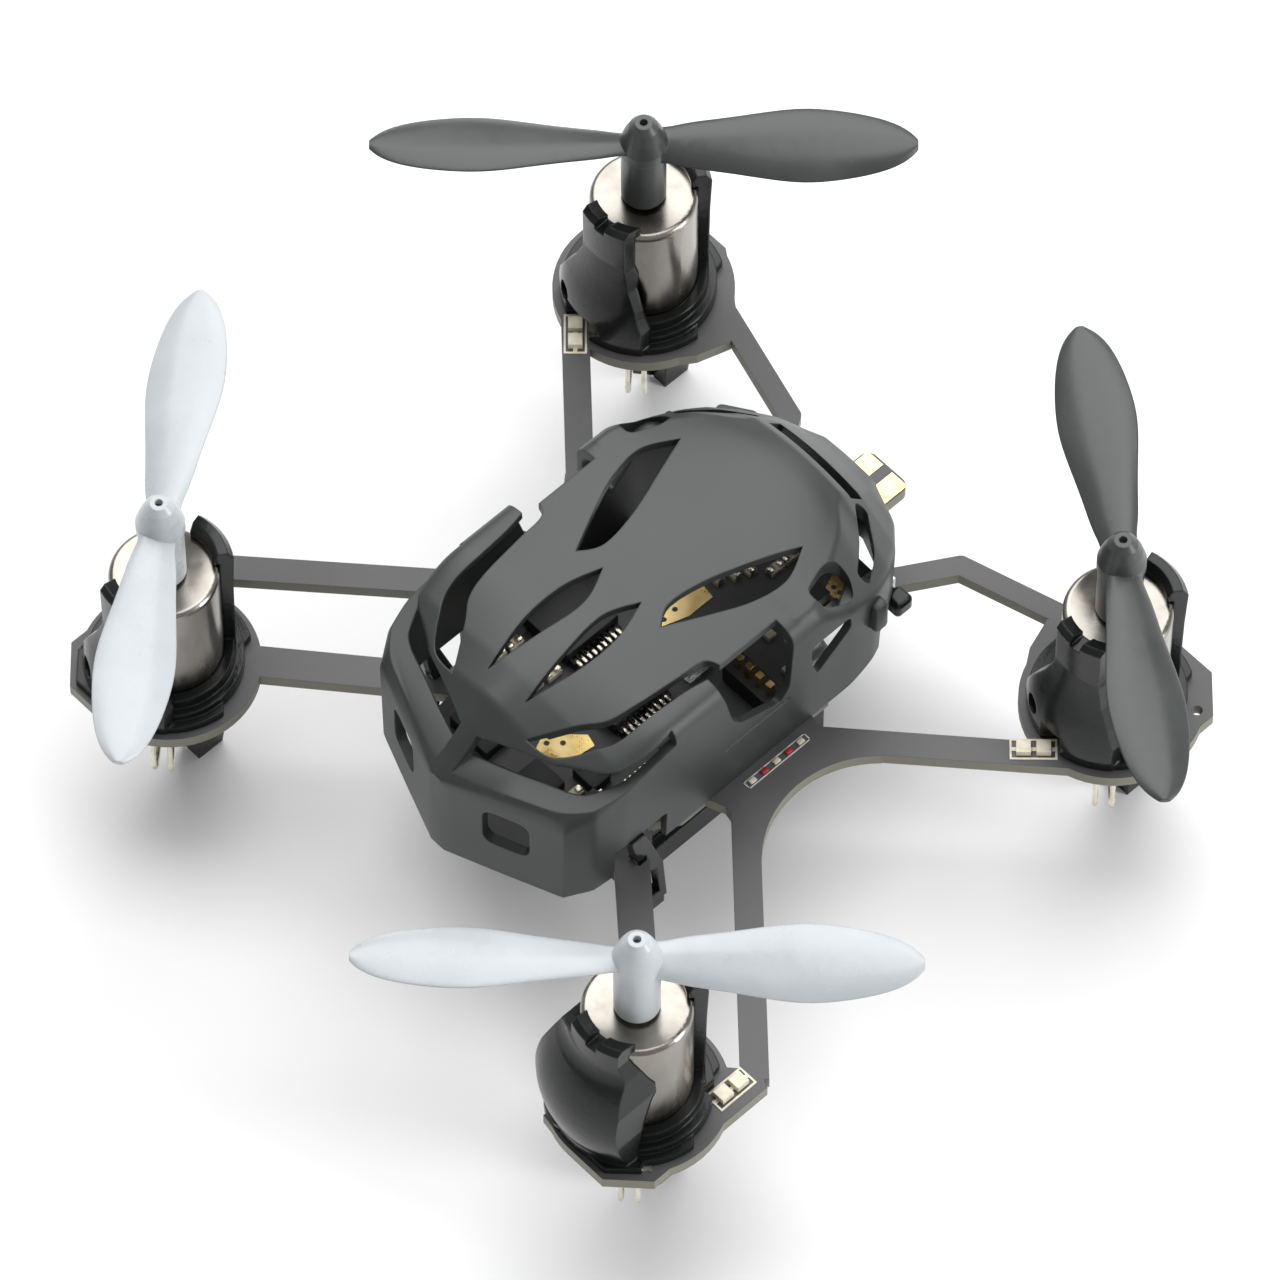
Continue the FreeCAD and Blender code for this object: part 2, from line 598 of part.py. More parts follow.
def clip_finger():
    """The thin rear finger, hooked over the can's rim."""
    top = BOARD_TOP
    profile = [
        (2.65, top + 0.4), (2.65, top + 9.7), (2.95, top + 10.2), (3.5, top + 10.2), (3.82, top + 9.7),
        (3.72, top + 7.0), (3.65, top + 0.4),
    ]
    corners = [V(r, 0, z) for r, z in profile]
    face = Part.Face(Part.makePolygon(corners + corners[:1]))
    return face.revolve(V(0, 0, 0), UP, 50).rotated(V(0, 0, 0), UP, 55)


def light_gap(corner):
    """The room round the small light beside one motor, kept clear by the clip's saddle."""
    side_x, side_y = CORNERS[corner][:2]
    x, y, angle = LIGHTS[corner]
    room = box(-1.4, 1.4, -0.75, 0.75, BOARD_TOP, BOARD_TOP + 1.7).rotated(V(0, 0, 0), UP, angle)
    return room.translated(V(x - side_x * MOTOR_X, y - side_y * MOTOR_Y, 0))


def clip_base(corner):
    """A thin saddle on the pad, a collar round the can and the socket below the board."""
    top = BOARD_TOP
    under = BOARD_TOP - BOARD_THICK
    side_x, side_y = CORNERS[corner][:2]
    saddle = cylinder(PAD_R - 0.4, top, top + 0.5)
    if side_y < 0:
        toe = prism([(-side_x * 1.5, -4.7), (side_x * 2.4, -4.7), (side_x * 3.8, -3.3),
                     (side_x * 2.0, 0), (0, 0)], top, top + 0.5)
        saddle = saddle.fuse(toe)
    saddle = saddle.cut(prism([(2.6, 1.6), (6.0, -1.5), (6.0, 6.0), (1.6, 6.0)], top - 1, top + 2))
    step = cylinder(CAN_R + 1.1, top, top + 0.9)
    collar = cylinder(CAN_R + 0.6, top, top + 1.6)
    socket = cylinder(MOTOR_HOLE_R - 0.05, under - 2.6, top)
    floor_ring = cylinder(MOTOR_HOLE_R + 0.5, under - 0.9, under - 0.02)
    return fuse([saddle, step, collar, socket, floor_ring])


def clip_foot():
    """The leg under the motor: a flat-soled post with a thin rib sloping up in front of it."""
    under = BOARD_TOP - BOARD_THICK
    post = side_prism([(0.85, under - 2.2), (0.85, 0), (2.6, 0), (3.05, 2.4), (3.2, under - 2.2)], -0.1, 0.9)
    rib = side_prism([(-0.9, under - 2.2), (-0.75, 2.1), (0.9, 0.15), (0.9, under - 2.2)], -0.55, 0.0)
    bridge = box(-2.2, 2.2, -1.0, 3.0, under - 2.6, under - 2.05)
    leg = post.fuse(rib).fuse(bridge)
    return leg.common(cylinder(MOTOR_HOLE_R - 0.05, -1, under - 2.05))


def motor_clip(corner):
    if corner == "front_left":
        bell = clip_bell(BROAD_FLANK, BROAD_SIDES)
    else:
        bell = clip_bell(NARROW_FLANK, NARROW_SIDES)
    clip = fuse([clip_base(corner), bell, clip_finger()]).cut(light_gap(corner))
    clip = clip.cut(cylinder(CAN_R + CLIP_GAP, BOARD_TOP - BOARD_THICK - 2.0, CAN_TOP + 0.05))
    clip = clip.cut(cylinder(CAN_R - 0.5, BOARD_TOP - BOARD_THICK - 4.0, BOARD_TOP))
    return clip.fuse(clip_foot()).removeSplitter()


def motor_leads():
    """Two leads from the end cap, round under the pad and up to its underside."""
    parts = []
    under = BOARD_TOP - BOARD_THICK
    for start, end in (((1.3, -1.2), (3.3, -3.1)), ((0.7, -1.6), (2.6, -3.7))):
        level = CAN_BOTTOM - 1.9
        points = [
            V(start[0], start[1], CAN_BOTTOM),
            V(start[0], start[1], level),
            V(end[0], end[1], level),
            V(end[0], end[1], under),
        ]
        parts.append(wire_along(points, 0.15))
    return Part.makeCompound(parts)


# ---------------------------------------------------------------- propellers

def blade_chord(r):
    """The width of a blade at radius r: narrow at the hub, widest at 60 %, round at the tip."""
    t = r / PROP_R
    root = 1.75 + 4.6 * t
    rounding = math.sqrt(max(1 - ((t - 0.58) / 0.42) ** 2, 0)) if t > 0.58 else 1.0
    belly = 4.25 * (1 - 0.16 * ((0.58 - t) / 0.3) ** 2) if t < 0.58 else 4.25
    return min(root, belly) * rounding


def blade_section(r, sense):
    """One cambered section of a blade that lies along +X, as a closed wire at radius r."""
    t = r / PROP_R
    chord = max(blade_chord(r), 0.6)
    thick = 0.62 - 0.32 * t
    twist = math.radians(BLADE_TWIST_ROOT + (BLADE_TWIST_TIP - BLADE_TWIST_ROOT) * t) * sense
    camber = 0.05 * chord
    upper = []
    for s in (-0.5, -0.25, 0.0, 0.25, 0.5):
        bulge = math.sqrt(max(1 - (2 * s) ** 2, 0))
        upper.append((s * chord, camber * bulge + 0.5 * thick * bulge))
    lower = [(s, 2 * camber * math.sqrt(max(1 - (2 * s / chord) ** 2, 0)) - z) for s, z in upper]
    points = upper + lower[-2:0:-1]
    turned = []
    for s, z in points:
        across = s * math.cos(twist) - z * math.sin(twist)
        height = s * math.sin(twist) + z * math.cos(twist)
        turned.append(V(r, across, BLADE_Z + height))
    curve = Part.BSplineCurve()
    curve.interpolate(turned, PeriodicFlag=True)
    return Part.Wire(curve.toShape())


def blade(sense):
    radii = [0.9, 2.2, 4.0, 6.2, 8.7, 11.0, 12.8, 14.0, 14.7, PROP_R]
    return Part.makeLoft([blade_section(r, sense) for r in radii], True, False)


def hub():
    """The domed hub with its blind top hole, on a stem that ends just above the motor."""
    profile = [
        (SHAFT_R, CAN_TOP + 0.3), (STEM_R, CAN_TOP + 0.3), (STEM_R, BLADE_Z - 0.5), (HUB_R, BLADE_Z - 0.4),
        (HUB_R, BLADE_Z + 0.3), (1.1, BLADE_Z + 1.1), (0.82, BLADE_Z + 1.75), (0.5, HUB_TOP),
        (HUB_HOLE_R, HUB_TOP), (HUB_HOLE_R, HUB_TOP - 0.45), (SHAFT_R, HUB_TOP - 0.45),
    ]
    corners = [V(r, 0, z) for r, z in profile]
    return Part.Face(Part.makePolygon(corners + corners[:1])).revolve(V(0, 0, 0), UP, 360)


def propeller(corner):
    angle, sense = CORNERS[corner][2:]
    one = blade(sense)
    other = one.rotated(V(0, 0, 0), UP, 180)
    body = fuse([hub(), one, other])
    body = body.cut(cylinder(SHAFT_R, CAN_TOP - 1, HUB_TOP - 0.45))
    return body.rotated(V(0, 0, 0), UP, angle)


# ---------------------------------------------------------------- assembly

def all_parts():
    parts = {
        "main_board": main_board(),
        "charge_contacts": charge_contacts(),
        "mcu_chip": mcu_chip(),
        "radio_chip": radio_chip(),
        "gyro_chip": gyro_chip(),
        "crystal_can": crystal_can(),
        "motor_drivers": motor_drivers(),
        "passives": passives(),
        "gold_pads": gold_pads(),
        "pin_header": pin_header(),
        "header_contacts": header_contacts(),
        "power_switch_body": power_switch_body(),
        "switch_knob": switch_knob(),
        "battery_cell": battery_cell(),
        "battery_cradle": battery_cradle(),
        "battery_lead_red": battery_lead(-1),
        "battery_lead_black": battery_lead(1),
        "canopy_shell": canopy_shell(),
    }
    for corner in CORNERS:
        parts["arm_led_" + corner] = arm_led(corner)
        parts["motor_can_" + corner] = place(motor_can(), corner)
        parts["motor_end_cap_" + corner] = place(motor_end_cap(), corner)
        parts["motor_bush_" + corner] = place(motor_bush(), corner)
        parts["motor_magnet_" + corner] = place(motor_magnet(), corner)
        parts["rotor_coil_" + corner] = place(rotor_coil(), corner)
        parts["motor_shaft_" + corner] = place(motor_shaft(), corner)
        parts["motor_clip_" + corner] = place(motor_clip(corner), corner)
        parts["motor_leads_" + corner] = place(motor_leads(), corner)
        parts["propeller_" + corner] = place(propeller(corner), corner)
    return parts


os.makedirs("parts", exist_ok=True)
for name, shape in all_parts().items():
    if not shape.isValid():
        print("not valid:", name)
    print(name, len(shape.Solids), round(shape.Volume, 3))
    shape.exportStep("parts/%s.step" % name)
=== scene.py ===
import bpy
import bmesh
import json
import math
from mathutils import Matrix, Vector


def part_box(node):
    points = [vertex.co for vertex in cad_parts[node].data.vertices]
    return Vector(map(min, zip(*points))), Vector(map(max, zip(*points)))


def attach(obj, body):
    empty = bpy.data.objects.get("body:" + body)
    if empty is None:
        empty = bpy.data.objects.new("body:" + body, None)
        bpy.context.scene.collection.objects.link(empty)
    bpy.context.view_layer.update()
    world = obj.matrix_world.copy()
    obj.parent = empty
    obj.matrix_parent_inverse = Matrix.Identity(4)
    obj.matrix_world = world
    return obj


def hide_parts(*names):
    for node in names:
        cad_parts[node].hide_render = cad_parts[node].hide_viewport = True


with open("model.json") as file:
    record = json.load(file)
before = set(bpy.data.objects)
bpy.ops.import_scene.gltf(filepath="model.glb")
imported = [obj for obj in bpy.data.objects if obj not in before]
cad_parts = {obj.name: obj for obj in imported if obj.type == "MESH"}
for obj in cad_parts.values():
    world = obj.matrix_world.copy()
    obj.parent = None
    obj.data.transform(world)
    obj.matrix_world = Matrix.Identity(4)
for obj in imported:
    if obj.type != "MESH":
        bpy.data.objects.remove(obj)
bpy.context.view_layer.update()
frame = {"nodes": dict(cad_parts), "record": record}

MM = 0.001


# ------------------------------------------------------------------ materials

def node(mat, kind, **settings):
    made = mat.node_tree.nodes.new(kind)
    for key, value in settings.items():
        setattr(made, key, value)
    return made


def link(mat, out, into):
    mat.node_tree.links.new(out, into)


def object_coords(mat, stretch=(1, 1, 1)):
    coords = node(mat, "ShaderNodeTexCoord")
    mapping = node(mat, "ShaderNodeMapping")
    mapping.inputs["Scale"].default_value = stretch
    link(mat, coords.outputs["Object"], mapping.inputs["Vector"])
    return mapping.outputs["Vector"]


def noise(mat, vector, size_mm, detail=4.0, roughness=0.55):
    tex = node(mat, "ShaderNodeTexNoise")
    tex.inputs["Scale"].default_value = 1000.0 / size_mm
    tex.inputs["Detail"].default_value = detail
    tex.inputs["Roughness"].default_value = roughness
    link(mat, vector, tex.inputs["Vector"])
    return tex.outputs["Fac"]


def spread(mat, factor, low, high):
    """Maps a noise value onto a range of numbers."""
    rng = node(mat, "ShaderNodeMapRange")
    rng.inputs["From Min"].default_value = 0.3
    rng.inputs["From Max"].default_value = 0.7
    rng.inputs["To Min"].default_value = low
    rng.inputs["To Max"].default_value = high
    link(mat, factor, rng.inputs["Value"])
    return rng.outputs["Result"]


def shade(mat, factor, dark, light):
    """Mixes two colours by a value."""
    mix = node(mat, "ShaderNodeMix", data_type="RGBA")
    mix.inputs["A"].default_value = (*dark, 1)
    mix.inputs["B"].default_value = (*light, 1)
    link(mat, factor, mix.inputs["Factor"])
    return mix.outputs["Result"]


def soft_edges(mat, radius_mm):
    bevel = node(mat, "ShaderNodeBevel")
    bevel.samples = 4
    bevel.inputs["Radius"].default_value = radius_mm * MM
    return bevel.outputs["Normal"]


def surface(name, dark, light, rough, metal=0.0, grain_mm=0.35, cloud_mm=6.0, bump_mm=0.01,
            edge_mm=0.08, coat=0.0, ior=1.5, stretch=(1, 1, 1), wear=0.0, wear_colour=(0.3, 0.3, 0.3)):
    """A procedural finish: cloudy colour, varied roughness, fine grain, rounded and worn edges."""
    mat = bpy.data.materials.new(name)
    mat.use_nodes = True
    bsdf = mat.node_tree.nodes["Principled BSDF"]
    coords = object_coords(mat, stretch)
    cloud = noise(mat, coords, cloud_mm, 5.0)
    grain = noise(mat, coords, grain_mm, 3.0)
    colour = shade(mat, spread(mat, cloud, 0.0, 1.0), dark, light)
    if wear > 0:
        geometry = node(mat, "ShaderNodeNewGeometry")
        edge = node(mat, "ShaderNodeMapRange")
        edge.inputs["From Min"].default_value = 0.53
        edge.inputs["From Max"].default_value = 0.62
        edge.inputs["To Max"].default_value = wear
        link(mat, geometry.outputs["Pointiness"], edge.inputs["Value"])
        worn = node(mat, "ShaderNodeMix", data_type="RGBA")
        worn.inputs["B"].default_value = (*wear_colour, 1)
        link(mat, edge.outputs["Result"], worn.inputs["Factor"])
        link(mat, colour, worn.inputs["A"])
        colour = worn.outputs["Result"]
    link(mat, colour, bsdf.inputs["Base Color"])
    link(mat, spread(mat, cloud, rough[0], rough[1]), bsdf.inputs["Roughness"])
    bump = node(mat, "ShaderNodeBump")
    bump.inputs["Strength"].default_value = 0.6
    bump.inputs["Distance"].default_value = bump_mm * MM
    link(mat, grain, bump.inputs["Height"])
    link(mat, soft_edges(mat, edge_mm), bump.inputs["Normal"])
    link(mat, bump.outputs["Normal"], bsdf.inputs["Normal"])
    bsdf.inputs["Metallic"].default_value = metal
    bsdf.inputs["IOR"].default_value = ior
    bsdf.inputs["Coat Weight"].default_value = coat
    bsdf.inputs["Coat Roughness"].default_value = 0.08
    return mat


FINISHES = {
    "black_board": surface("black_board", (0.060, 0.060, 0.063), (0.085, 0.085, 0.088), (0.42, 0.55),
                           cloud_mm=4.0, bump_mm=0.006, edge_mm=0.05),
    "gold_plate": surface("gold_plate", (0.72, 0.50, 0.16), (0.90, 0.70, 0.34), (0.22, 0.38), 1.0,
                          cloud_mm=1.2, edge_mm=0.02),
    "chip_epoxy": surface("chip_epoxy", (0.010, 0.010, 0.011), (0.022, 0.022, 0.024), (0.40, 0.6),
                          grain_mm=0.08, edge_mm=0.06),
    "ivory_ceramic": surface("ivory_ceramic", (0.62, 0.55, 0.40), (0.85, 0.80, 0.66), (0.3, 0.5),
                             cloud_mm=0.7, edge_mm=0.05),
    "bare_steel": surface("bare_steel", (0.42, 0.42, 0.42), (0.66, 0.66, 0.65), (0.22, 0.36), 1.0,
                          cloud_mm=1.5, stretch=(1, 1, 6), edge_mm=0.05),
    "gloss_black": surface("gloss_black", (0.005, 0.006, 0.006), (0.011, 0.012, 0.012), (0.14, 0.26),
                           cloud_mm=3.0, bump_mm=0.02, edge_mm=0.16, ior=1.36),
    "pouch_foil": surface("pouch_foil", (0.50, 0.51, 0.53), (0.72, 0.72, 0.74), (0.25, 0.42), 1.0,
                          grain_mm=0.6, cloud_mm=3.0, bump_mm=0.05, edge_mm=0.3),
    "red_jacket": surface("red_jacket", (0.35, 0.01, 0.01), (0.55, 0.03, 0.02), (0.35, 0.5)),
    "black_jacket": surface("black_jacket", (0.010, 0.010, 0.010), (0.03, 0.03, 0.03), (0.35, 0.5)),
    "canopy_black": surface("canopy_black", (0.024, 0.027, 0.027), (0.035, 0.039, 0.039), (0.38, 0.48),
                            grain_mm=0.12, cloud_mm=8.0, bump_mm=0.006, edge_mm=0.14, ior=1.5),
    "can_nickel": surface("can_nickel", (0.22, 0.205, 0.185), (0.34, 0.32, 0.285), (0.18, 0.30), 1.0,
                          cloud_mm=1.5, stretch=(1, 1, 0.3), bump_mm=0.003, edge_mm=0.10),
    "white_nylon": surface("white_nylon", (0.70, 0.70, 0.68), (0.85, 0.85, 0.83), (0.4, 0.55)),
    "bronze": surface("bronze", (0.42, 0.26, 0.11), (0.62, 0.42, 0.20), (0.35, 0.5), 1.0),
    "magnet_grey": surface("magnet_grey", (0.15, 0.15, 0.16), (0.25, 0.25, 0.26), (0.3, 0.5), 1.0),
    "copper_coil": surface("copper_coil", (0.50, 0.18, 0.07), (0.72, 0.34, 0.14), (0.3, 0.45), 1.0),
    "solder_tin": surface("solder_tin", (0.66, 0.62, 0.50), (0.86, 0.82, 0.70), (0.2, 0.35), 1.0,
                          cloud_mm=0.8),
    "prop_black": surface("prop_black", (0.036, 0.040, 0.039), (0.052, 0.057, 0.056), (0.32, 0.42),
                          grain_mm=0.15, cloud_mm=5.0, bump_mm=0.004, edge_mm=0.10, ior=1.5),
    "prop_white": surface("prop_white", (0.42, 0.45, 0.47), (0.50, 0.53, 0.55), (0.24, 0.36),
                          cloud_mm=5.0, bump_mm=0.004, edge_mm=0.10),
}

def pale_sides(mat, colour):
    """Gives the faces that stand upright another colour: the bare cut edges of the board."""
    bsdf = mat.node_tree.nodes["Principled BSDF"]
    before = bsdf.inputs["Base Color"].links[0].from_socket
    geometry = node(mat, "ShaderNodeNewGeometry")
    split = node(mat, "ShaderNodeSeparateXYZ")
    upward = node(mat, "ShaderNodeMath", operation="ABSOLUTE")
    side = node(mat, "ShaderNodeMath", operation="LESS_THAN")
    side.inputs[1].default_value = 0.5
    mix = node(mat, "ShaderNodeMix", data_type="RGBA")
    mix.inputs["B"].default_value = (*colour, 1)
    link(mat, geometry.outputs["True Normal"], split.inputs["Vector"])
    link(mat, split.outputs["Z"], upward.inputs[0])
    link(mat, upward.outputs["Value"], side.inputs[0])
    link(mat, side.outputs["Value"], mix.inputs["Factor"])
    link(mat, before, mix.inputs["A"])
    link(mat, mix.outputs["Result"], bsdf.inputs["Base Color"])


pale_sides(FINISHES["black_board"], (0.17, 0.165, 0.13))

for part in frame["record"]["subparts"]:
    shown = frame["nodes"][part["node"]]
    shown.data.materials.clear()
    shown.data.materials.append(FINISHES[part["material_slot"]])

BOARD_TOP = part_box("main_board")[1].z / MM


# ------------------------------------------------------------------ building pieces

def new_piece(name, verts, faces, slot, body="airframe"):
    """A mesh piece, given in millimetres, that rides on one body."""
    mesh = bpy.data.meshes.new(name)
    mesh.from_pydata([(x * MM, y * MM, z * MM) for x, y, z in verts], [], faces)
    obj = bpy.data.objects.new(name, mesh)
    bpy.context.scene.collection.objects.link(obj)
    if slot:
        mesh.materials.append(FINISHES[slot])
        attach(obj, body)
    return obj


def prism_mesh(outline, low, high):
    """Vertices and faces of a closed prism; low and high give a point's two heights or depths."""
    count = len(outline)
    verts = [low(p) for p in outline] + [high(p) for p in outline]
    faces = [tuple(reversed(range(count))), tuple(range(count, 2 * count))]
    for i in range(count):
        j = (i + 1) % count
        faces.append((i, j, count + j, count + i))
    return verts, faces


def spline(points, steps=8):
    """A smooth open curve through the points."""
    ends = [points[0]] + list(points) + [points[-1]]
    curve = []
    for i in range(1, len(ends) - 2):
        a, b, c, d = ends[i - 1:i + 3]
        for k in range(steps):
            t = k / steps
            curve.append(tuple(
                0.5 * (2 * b[j] + (c[j] - a[j]) * t + (2 * a[j] - 5 * b[j] + 4 * c[j] - d[j]) * t * t
                       + (3 * b[j] - a[j] - 3 * c[j] + d[j]) * t ** 3) for j in (0, 1)))
    return curve + [points[-1]]


def leaf(near, far):
    """An outline of two smooth sides that meet in a tip at each end."""
    return spline(near)[:-1] + spline(far)[:-1]


def mirrored(verts, faces):
    return [(-x, y, z) for x, y, z in verts], [tuple(reversed(face)) for face in faces]


def finished(obj, angle=32):
    """Fixes the outcome of the piece's modifiers as its mesh, smooth apart from real edges."""
    graph = bpy.context.evaluated_depsgraph_get()
    mesh = bpy.data.meshes.new_from_object(obj.evaluated_get(graph))
    obj.modifiers.clear()
    obj.data = mesh
    for face in mesh.polygons:
        face.use_smooth = True
    mesh.set_sharp_from_angle(angle=math.radians(angle))


def boxes(name, blocks, slot, body="airframe", edge_mm=0.04):
    """Small blocks with softened edges: x0, x1, y0, y1 and two heights above the board."""
    verts, faces = [], []
    for x0, x1, y0, y1, z0, z1 in blocks:
        base = len(verts)
        for z in (z0, z1):
            verts += [(x, y, BOARD_TOP + z) for x, y in ((x0, y0), (x1, y0), (x1, y1), (x0, y1))]
        faces += [tuple(base + i for i in face) for face in (
            (3, 2, 1, 0), (4, 5, 6, 7), (0, 1, 5, 4), (1, 2, 6, 5), (2, 3, 7, 6), (3, 0, 4, 7))]
    obj = new_piece(name, verts, faces, slot, body)
    if edge_mm:
        bevel = obj.modifiers.new("edges", "BEVEL")
        bevel.width = edge_mm * MM
        bevel.segments = 2
        finished(obj)
    return obj


# ------------------------------------------------------------------ canopy

# y, half width at the board, half width of the wall, shoulder height, half width of the roof,
# roof edge height, crown height; heights are above the board
STATIONS = [
    (-15.1, 0.5, 0.5, 6.7, 0.4, 7.1, 7.2),
    (-13.9, 3.6, 3.6, 6.9, 3.2, 7.5, 8.0),
    (-12.5, 7.1, 7.2, 7.1, 6.6, 7.8, 9.4),
    (-11.0, 7.9, 8.15, 8.0, 7.3, 9.0, 10.4),
    (-9.0, 8.1, 8.5, 9.2, 7.7, 10.0, 10.9),
    (-5.5, 8.1, 8.5, 10.1, 7.9, 10.75, 11.2),
    (5.0, 8.1, 8.5, 10.1, 7.9, 10.75, 11.35),
    (7.6, 8.1, 8.45, 8.4, 6.6, 10.6, 11.25),
    (9.8, 7.8, 8.1, 7.4, 5.2, 10.4, 11.05),
    (11.7, 7.0, 7.3, 6.8, 3.4, 10.1, 10.5),
    (13.2, 6.0, 6.2, 6.2, 3.2, 8.4, 8.8),
    (14.6, 4.6, 4.7, 5.7, 2.6, 6.7, 7.0),
    (15.6, 2.3, 2.4, 5.2, 1.9, 5.7, 5.8),
]
WALL = 0.5


def station_at(y):
    """The canopy's section sizes at y: straight in the nose and the rear slope, smooth between."""
    rows = STATIONS
    i = max(k for k in range(len(rows) - 1) if rows[k][0] <= y + 1e-9)
    a, b = rows[i], rows[i + 1]
    t = (y - a[0]) / (b[0] - a[0])
    if a[0] < -9.5 or a[0] > 11.5:
        return [a[k] + (b[k] - a[k]) * t for k in range(1, 7)]
    sizes = []
    for k in range(1, 7):
        slopes = []
        for j in (i, i + 1):
            before = (rows[j][k] - rows[j - 1][k]) / (rows[j][0] - rows[j - 1][0])
            after = (rows[j + 1][k] - rows[j][k]) / (rows[j + 1][0] - rows[j][0])
            flat = before * after <= 0
            slopes.append(0.0 if flat else 2 * before * after / (before + after))
        span = b[0] - a[0]
        h00, h10 = 2 * t ** 3 - 3 * t ** 2 + 1, t ** 3 - 2 * t ** 2 + t
        h01, h11 = 3 * t ** 2 - 2 * t ** 3, t ** 3 - t ** 2
        sizes.append(h00 * a[k] + h10 * span * slopes[0] + h01 * b[k] + h11 * span * slopes[1])
    return sizes


def rounded_corner(before, corner, after, cut, steps=5):
    """Points of a soft corner between two straight runs."""
    ends = []
    for other in (before, after):
        gap = math.hypot(other[0] - corner[0], other[1] - corner[1])
        part = min(cut / max(gap, 1e-6), 0.45)
        ends.append((corner[0] + (other[0] - corner[0]) * part, corner[1] + (other[1] - corner[1]) * part))
    curve = []
    for k in range(steps + 1):
        t = k / steps
        curve.append(tuple(
            (1 - t) ** 2 * ends[0][j] + 2 * t * (1 - t) * corner[j] + t * t * ends[1][j] for j in (0, 1)))
    return curve


def canopy_section(y, inset, lift):
    foot_half, half, shoulder, roof_half, edge, crown = station_at(y)
    foot = (max(foot_half - inset, 0.15), -lift)
    wall = (max(half - inset, 0.15), shoulder - inset)
    rim = (max(roof_half - inset, 0.1), edge - inset)
    top = (0.0, crown - inset)
    right = [(foot[0] + (wall[0] - foot[0]) * t, foot[1] + (wall[1] - foot[1]) * t) for t in (0, 0.3, 0.6)]
    right += rounded_corner(foot, wall, rim, 0.55)
    soft = 0.8 if y < 4 else 0.3
    right += rounded_corner(wall, rim, top, soft)
    ridge = min(max((-3.0 - y) / 6.0, 0.0), 1.0)
    x_end, z_end = right[-1]
    for k in range(1, 9):
        t = k / 8
        bulge = (1 - ridge) * (1 - (1 - t) ** 2) + ridge * t
        right.append((x_end * (1 - t), z_end + (top[1] - z_end) * bulge))
    left = [(-x, z) for x, z in reversed(right[:-1])]
    return right + left


def canopy_volume(name, inset, lift):
    """A closed solid of the canopy's outer form, or of its hollow."""
    first, last = STATIONS[0][0], STATIONS[-1][0]
    count = 140
    verts, rows = [], []
    for i in range(count + 1):
        y = first + (last - first) * i / count
        ring = canopy_section(y, inset, lift)
        rows.append(list(range(len(verts), len(verts) + len(ring))))
        verts += [(x, y * (1 - inset / 15.0), BOARD_TOP + z) for x, z in ring]
    faces = []
    for a, b in zip(rows, rows[1:]):
        for j in range(len(a) - 1):
            faces.append((a[j], b[j], b[j + 1], a[j + 1]))
        faces.append((a[-1], b[-1], b[0], a[0]))
    faces.append(tuple(rows[0]))
    faces.append(tuple(reversed(rows[-1])))
    return new_piece(name, verts, faces, None)


def upright(outline, low, high):
    """A cutter that stands on a plan outline."""
    return prism_mesh(
        outline,
        lambda p: (p[0], p[1], BOARD_TOP + low),
        lambda p: (p[0], p[1], BOARD_TOP + high),
    )


def sideways(outline, x0, x1):
    """A cutter that runs along X over an outline of (y, height) points."""
    return prism_mesh(
        outline,
        lambda p: (x0, p[0], BOARD_TOP + p[1]),
        lambda p: (x1, p[0], BOARD_TOP + p[1]),
    )


def rounded_outline(points, cut):
    """A closed outline with softened corners."""
    smooth = []
    for i, corner in enumerate(points):
        smooth += rounded_corner(points[i - 1], corner, points[(i + 1) % len(points)], cut, 4)
    return smooth


